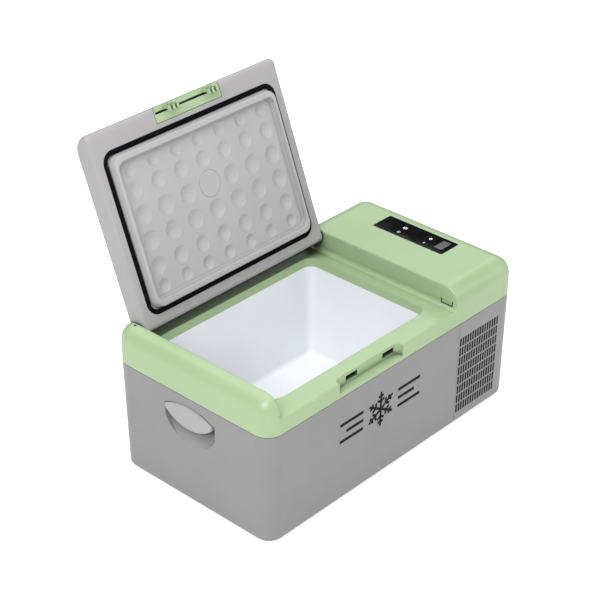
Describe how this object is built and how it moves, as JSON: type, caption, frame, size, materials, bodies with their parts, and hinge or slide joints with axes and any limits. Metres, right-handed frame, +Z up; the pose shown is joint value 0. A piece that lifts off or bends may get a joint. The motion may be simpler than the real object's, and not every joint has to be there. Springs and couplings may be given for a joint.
{
  "type": "compressor cooler fridge",
  "caption": "Portable compressor fridge with an insulated tub, hinged latched lid, top control panel, recessed side grips and a grilled machine bay, shown lid open.",
  "frame": {"origin": "on the floor, at the middle of the four foot fixing holes", "axes": "+X along the length, towards the machine bay and control panel; +Y towards the back, where the lid hinges; +Z up"},
  "size_m": [0.574, 0.4097, 0.5358],
  "materials": {
    "case_grey": "fine grain",
    "frame_green": "fine grain",
    "lid_grey": "fine grain",
    "liner_white": "smooth",
    "seal_black": "matt",
    "foot_rubber": "matt",
    "panel_black": "polished",
    "display_grey": "polished",
    "board_green": "varnished",
    "dark_plastic": "satin",
    "foam": "open cell",
    "steel": "zinc plated",
    "black_steel": "satin",
    "black_fin": "matt black coating",
    "aluminium": "mill",
    "copper": "drawn",
    "brass": "machined",
    "spring_steel": "bright",
    "wire": "sleeved"
  },
  "bodies": {
    "body": {"outer_case": "case_grey", "bay_cover": "case_grey", "top_frame": "frame_green", "feet": "foot_rubber", "foot_inserts": "brass", "side_grip_left": "lid_grey", "side_grip_right": "lid_grey", "grip_screws": "steel", "inner_liner": "liner_white", "evaporator_plate": "aluminium", "evaporator_coil": "copper", "foam_insulation": "foam", "bulkhead": "dark_plastic", "chassis_plate": "steel", "chassis_screws": "steel", "compressor_grommets": "foot_rubber", "compressor_base": "black_steel", "compressor_bolts": "steel", "compressor_shell": "black_steel", "terminal_cover": "dark_plastic", "condenser_fins": "black_fin", "condenser_tube": "black_fin", "fan_shroud": "black_steel", "fan_housing": "dark_plastic", "fan_screws": "steel", "suction_line": "copper", "discharge_line": "copper", "filter_drier": "copper", "liquid_lines": "copper", "controller_bracket": "steel", "controller_board": "board_green", "controller_heat_sink": "aluminium", "power_socket": "dark_plastic", "socket_pins": "brass", "panel_lens": "panel_black", "display_window": "display_grey", "panel_board": "board_green", "display_module": "dark_plastic", "key_switches": "dark_plastic", "wiring_loom": "wire", "hinge_pins": "steel"},
    "lid": {"lid_outer_shell": "lid_grey", "hinge_bushes": "dark_plastic", "lid_inner_panel": "lid_grey", "lid_plug_cap": "lid_grey", "lid_gasket": "seal_black", "lid_foam": "foam", "latch_bezel": "frame_green", "latch_pin": "steel", "latch_spring": "spring_steel"},
    "latch": {"latch_lever": "frame_green"},
    "fan": {"fan_rotor": "dark_plastic"},
    "power_key": {"power_key": "panel_black"},
    "mode_key": {"mode_key": "panel_black"},
    "down_key": {"down_key": "panel_black"},
    "up_key": {"up_key": "panel_black"}
  },
  "joints": [
    {"name": "lid_hinge", "type": "hinge", "parent": "body", "child": "lid", "pos_m": [0, 0.1397, 0.2477], "axis": [1, 0, 0], "range_deg": [0, 111]},
    {"name": "latch_pivot", "type": "hinge", "parent": "lid", "child": "latch", "pos_m": [-0.0595, 0.23834, 0.5164], "axis": [-1, 0, 0], "range_deg": [0, 25]},
    {"name": "fan_spin", "type": "hinge", "parent": "body", "child": "fan", "pos_m": [0.204, -0.1085, 0.078], "axis": [0, 1, 0], "continuous": true},
    {"name": "power_key_press", "type": "slide", "parent": "body", "child": "power_key", "axis": [0, 0, -1], "range_m": [0, 0.0006]},
    {"name": "mode_key_press", "type": "slide", "parent": "body", "child": "mode_key", "axis": [0, 0, -1], "range_m": [0, 0.0006]},
    {"name": "down_key_press", "type": "slide", "parent": "body", "child": "down_key", "axis": [0, 0, -1], "range_m": [0, 0.0006]},
    {"name": "up_key_press", "type": "slide", "parent": "body", "child": "up_key", "axis": [0, 0, -1], "range_m": [0, 0.0006]}
  ]
}
